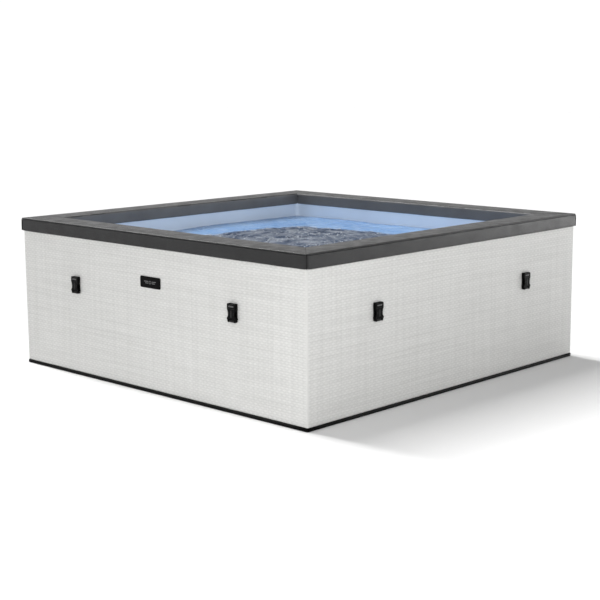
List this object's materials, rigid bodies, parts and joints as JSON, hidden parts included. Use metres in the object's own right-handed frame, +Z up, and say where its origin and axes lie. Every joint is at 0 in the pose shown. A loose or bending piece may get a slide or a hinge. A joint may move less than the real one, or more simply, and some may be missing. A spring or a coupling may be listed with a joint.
{
  "type": "hot tub",
  "caption": "Square foam-walled portable hot tub with a padded mitred rim, strap buckles for a lid, and a built-in pump, heater and blower.",
  "frame": {"origin": "on the floor, under the centre of the square tub", "axes": "+Z up, -Y out of the front wall with the name plate, +Y out of the back wall with the equipment"},
  "size_m": [1.869, 1.869, 0.69],
  "materials": {
    "base_black": "matte",
    "foam_white": "matte",
    "woven_white": "matte",
    "rim_black": "satin",
    "piping_black": "satin",
    "liner_blue": "satin",
    "webbing_black": "matte",
    "buckle_black": "satin",
    "plate_black": "satin",
    "fitting_white": "satin",
    "filter_paper": "matte",
    "duct_blue": "satin",
    "case_grey": "satin",
    "door_grey": "satin",
    "pin_steel": "satin",
    "latch_black": "satin",
    "panel_black": "gloss",
    "window_dark": "gloss",
    "board_green": "satin",
    "key_grey": "matte",
    "pump_dark": "satin",
    "rotor_black": "satin",
    "heater_steel": "satin",
    "pipe_grey": "satin"
  },
  "bodies": {
    "tub": {"base_mat": "base_black", "floor_pad": "foam_white", "liner": "liner_blue", "rim_piping": "piping_black", "name_plate": "plate_black", "buckle_webbing": "webbing_black", "suction_fitting": "fitting_white", "filter_cartridge": "filter_paper", "return_fitting": "fitting_white", "air_channel": "duct_blue", "air_feed_elbow": "fitting_white", "drain_valve": "latch_black", "drain_strainer": "fitting_white", "equipment_case": "case_grey", "door_hinge_pins": "pin_steel", "control_panel": "panel_black", "display_window": "window_dark", "control_board": "board_green", "pump_housing": "pump_dark", "blower_housing": "pump_dark", "heater_tube": "heater_steel", "pipework": "pipe_grey", "power_inlet": "latch_black", "wall_foam_front": "foam_white", "rim_foam_front": "foam_white", "wall_cover_front": "woven_white", "rim_cover_front": "rim_black", "wall_foam_right": "foam_white", "rim_foam_right": "foam_white", "wall_cover_right": "woven_white", "rim_cover_right": "rim_black", "wall_foam_back": "foam_white", "rim_foam_back": "foam_white", "wall_cover_back": "woven_white", "rim_cover_back": "rim_black", "wall_foam_left": "foam_white", "rim_foam_left": "foam_white", "wall_cover_left": "woven_white", "rim_cover_left": "rim_black"},
    "buckle_front_a": {"buckle_front_a": "buckle_black"},
    "buckle_front_b": {"buckle_front_b": "buckle_black"},
    "buckle_right_a": {"buckle_right_a": "buckle_black"},
    "buckle_right_b": {"buckle_right_b": "buckle_black"},
    "buckle_back_a": {"buckle_back_a": "buckle_black"},
    "buckle_back_b": {"buckle_back_b": "buckle_black"},
    "buckle_left_a": {"buckle_left_a": "buckle_black"},
    "buckle_left_b": {"buckle_left_b": "buckle_black"},
    "door": {"equipment_door": "door_grey"},
    "latch_upper": {"door_latch_upper": "latch_black"},
    "latch_lower": {"door_latch_lower": "latch_black"},
    "filter_cap": {"filter_cap": "fitting_white"},
    "drain_cap": {"drain_cap": "latch_black"},
    "pump_rotor": {"pump_impeller": "rotor_black"},
    "blower_rotor": {"blower_impeller": "rotor_black"},
    "key_power": {"key_power": "key_grey"},
    "key_heat": {"key_heat": "key_grey"},
    "key_filter": {"key_filter": "key_grey"},
    "key_bubbles": {"key_bubbles": "key_grey"},
    "key_up": {"key_up": "key_grey"},
    "key_down": {"key_down": "key_grey"}
  },
  "joints": [
    {"name": "buckle_front_a_swing", "type": "hinge", "parent": "tub", "child": "buckle_front_a", "pos_m": [-0.515, -0.9275, 0.382], "axis": [1, 0, 0], "range_deg": [0, 150]},
    {"name": "buckle_front_b_swing", "type": "hinge", "parent": "tub", "child": "buckle_front_b", "pos_m": [0.515, -0.9275, 0.382], "axis": [1, 0, 0], "range_deg": [0, 150]},
    {"name": "buckle_right_a_swing", "type": "hinge", "parent": "tub", "child": "buckle_right_a", "pos_m": [0.9275, -0.515, 0.382], "axis": [0, 1, 0], "range_deg": [0, 150]},
    {"name": "buckle_right_b_swing", "type": "hinge", "parent": "tub", "child": "buckle_right_b", "pos_m": [0.9275, 0.515, 0.382], "axis": [0, 1, 0], "range_deg": [0, 150]},
    {"name": "buckle_back_a_swing", "type": "hinge", "parent": "tub", "child": "buckle_back_a", "pos_m": [0.515, 0.9275, 0.382], "axis": [-1, 0, 0], "range_deg": [0, 150]},
    {"name": "buckle_back_b_swing", "type": "hinge", "parent": "tub", "child": "buckle_back_b", "pos_m": [-0.515, 0.9275, 0.382], "axis": [-1, 0, 0], "range_deg": [0, 150]},
    {"name": "buckle_left_a_swing", "type": "hinge", "parent": "tub", "child": "buckle_left_a", "pos_m": [-0.9275, 0.515, 0.382], "axis": [0, -1, 0], "range_deg": [0, 150]},
    {"name": "buckle_left_b_swing", "type": "hinge", "parent": "tub", "child": "buckle_left_b", "pos_m": [-0.9275, -0.515, 0.382], "axis": [0, -1, 0], "range_deg": [0, 150]},
    {"name": "door_swing", "type": "hinge", "parent": "tub", "child": "door", "pos_m": [-0.288, 0.9275, 0.2875], "axis": [0, 0, 1], "range_deg": [0, 115]},
    {"name": "latch_upper_turn", "type": "hinge", "parent": "door", "child": "latch_upper", "pos_m": [0.248, 0.924, 0.425], "axis": [0, 1, 0], "range_deg": [0, 90]},
    {"name": "latch_lower_turn", "type": "hinge", "parent": "door", "child": "latch_lower", "pos_m": [0.248, 0.924, 0.15], "axis": [0, 1, 0], "range_deg": [0, 90]},
    {"name": "key_power_press", "type": "slide", "parent": "tub", "child": "key_power", "axis": [0, -1, 0], "range_m": [0, 0.0012], "stiffness_N_per_m": 400, "springref_m": -0.001},
    {"name": "key_heat_press", "type": "slide", "parent": "tub", "child": "key_heat", "axis": [0, -1, 0], "range_m": [0, 0.0012], "stiffness_N_per_m": 400, "springref_m": -0.001},
    {"name": "key_filter_press", "type": "slide", "parent": "tub", "child": "key_filter", "axis": [0, -1, 0], "range_m": [0, 0.0012], "stiffness_N_per_m": 400, "springref_m": -0.001},
    {"name": "key_bubbles_press", "type": "slide", "parent": "tub", "child": "key_bubbles", "axis": [0, -1, 0], "range_m": [0, 0.0012], "stiffness_N_per_m": 400, "springref_m": -0.001},
    {"name": "key_up_press", "type": "slide", "parent": "tub", "child": "key_up", "axis": [0, -1, 0], "range_m": [0, 0.0012], "stiffness_N_per_m": 400, "springref_m": -0.001},
    {"name": "key_down_press", "type": "slide", "parent": "tub", "child": "key_down", "axis": [0, -1, 0], "range_m": [0, 0.0012], "stiffness_N_per_m": 400, "springref_m": -0.001},
    {"name": "filter_cap_turn", "type": "hinge", "parent": "tub", "child": "filter_cap", "pos_m": [-0.16, 0.74, 0.2], "axis": [0, 1, 0], "range_deg": [0, 45]},
    {"name": "drain_cap_turn", "type": "hinge", "parent": "tub", "child": "drain_cap", "pos_m": [-0.7, 0.93, 0.062], "axis": [0, 1, 0], "range_deg": [0, 270]},
    {"name": "pump_spin", "type": "hinge", "parent": "tub", "child": "pump_rotor", "pos_m": [-0.17, 0.858, 0.3], "axis": [1, 0, 0], "continuous": true},
    {"name": "blower_spin", "type": "hinge", "parent": "tub", "child": "blower_rotor", "pos_m": [0.075, 0.858, 0.3], "axis": [0, 1, 0], "continuous": true}
  ]
}
